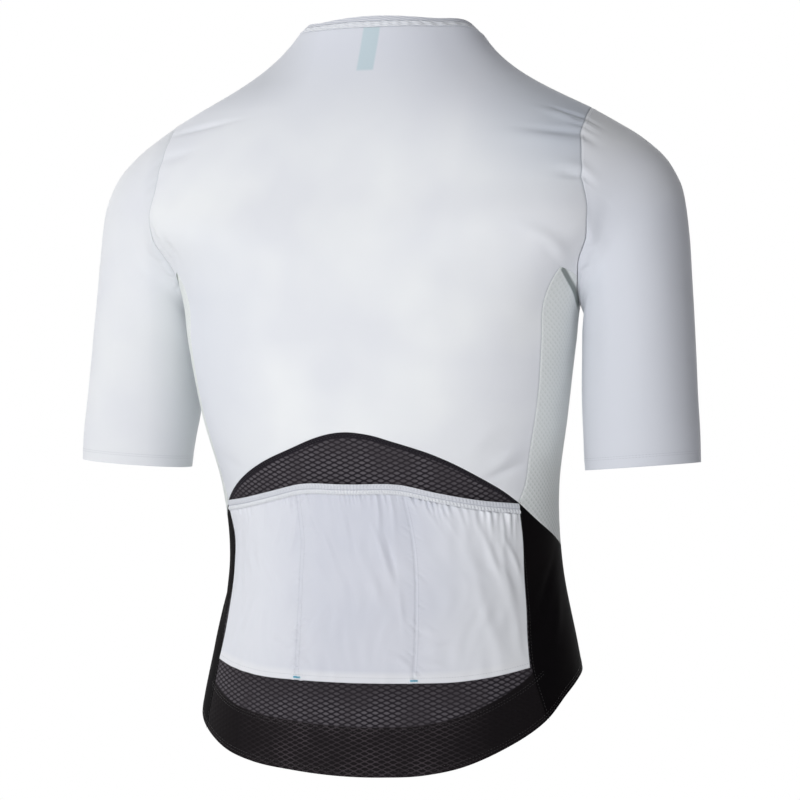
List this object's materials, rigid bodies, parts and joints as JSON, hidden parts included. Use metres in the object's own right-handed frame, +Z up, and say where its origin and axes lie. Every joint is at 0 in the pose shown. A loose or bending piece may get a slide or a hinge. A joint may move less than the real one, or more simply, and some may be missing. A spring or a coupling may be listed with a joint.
{
  "type": "cycling jersey",
  "caption": "White short-sleeved cycling jersey in its worn shape, with a full front zip, mesh side panels and a black mesh tail under three elasticated back pockets.",
  "frame": {"origin": "midway between the wearer's shoulders at the height of the neck's foot, where the shoulders carry the jersey", "axes": "+Z up the wearer, +X to the wearer's left, -Y to the wearer's front (the zip); +Y to the back (the pockets)"},
  "size_m": [0.5574, 0.2462, 0.6484],
  "materials": {
    "white_knit": "matt smooth knit",
    "white_mesh": "matt open mesh, grey-white",
    "black_knit": "matt smooth knit",
    "black_mesh": "matt mesh of small lens-shaped cells",
    "black_mesh_hem": "matt mesh, doubled inside the hem",
    "pocket_knit": "matt smooth knit, gathered",
    "elastic_knit": "matt ribbed elastic",
    "collar_knit": "matt knit band with a stitched lower edge",
    "label_satin": "satin ribbon, no print",
    "zip_tape": "matt woven tape",
    "zip_coil": "satin nylon coil",
    "zip_metal": "satin cast metal"
  },
  "bodies": {
    "jersey": {"back_panel": "white_knit", "lower_back_mesh": "black_mesh", "front_left": "white_knit", "front_right": "white_knit", "side_mesh_left": "white_mesh", "side_mesh_right": "white_mesh", "side_lower_left": "black_knit", "side_lower_right": "black_knit", "sleeve_left": "white_knit", "sleeve_right": "white_knit", "collar": "collar_knit", "neck_label": "label_satin", "pocket_panel": "pocket_knit", "pocket_elastic": "elastic_knit", "hem_turn_up": "black_mesh_hem", "zip_tape_left": "zip_tape", "zip_tape_right": "zip_tape", "zip_chain": "zip_coil", "zip_slider": "zip_metal"},
    "zip_pull": {"zip_pull_tab": "zip_metal"}
  },
  "joints": [
    {"name": "pull_tab_hinge", "type": "hinge", "parent": "jersey", "child": "zip_pull", "pos_m": [0, -0.1076, -0.03464], "axis": [-1, 0, 0], "range_deg": [0, 140]}
  ]
}
